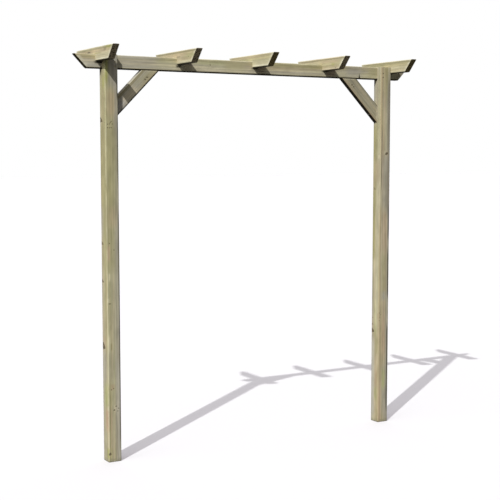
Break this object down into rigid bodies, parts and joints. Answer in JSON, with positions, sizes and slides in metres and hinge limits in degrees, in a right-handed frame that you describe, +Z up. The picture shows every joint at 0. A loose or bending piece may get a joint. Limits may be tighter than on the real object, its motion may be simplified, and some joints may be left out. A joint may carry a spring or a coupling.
{
  "type": "flat top garden arch",
  "caption": "Flat top timber garden arch: square posts, a cross beam let into their backs, notched rafters with sloped ends, and knee braces over the walkway.",
  "frame": {"origin": "middle of the left post's foot, on the ground", "axes": "+X along the cross beam towards the right post, +Y from the front of the arch to the back, +Z up"},
  "size_m": [2.055, 0.48, 2.094],
  "materials": {
    "post_timber": "pressure-treated planed softwood, green-tinted, eased arrises",
    "rail_timber": "pressure-treated planed softwood, green-tinted, eased arrises, sawn ends",
    "rafter_timber": "pressure-treated planed softwood, pale green-tan, eased arrises, sawn ends",
    "screw_steel": "coated exterior wood screw, dull brown-green"
  },
  "bodies": {
    "root": {"left_post": "post_timber", "right_post": "post_timber", "cross_beam": "rail_timber", "left_brace": "rail_timber", "right_brace": "rail_timber", "rafter_1": "rafter_timber", "rafter_2": "rafter_timber", "rafter_3": "rafter_timber", "rafter_4": "rafter_timber", "rafter_5": "rafter_timber"}
  },
  "joints": []
}
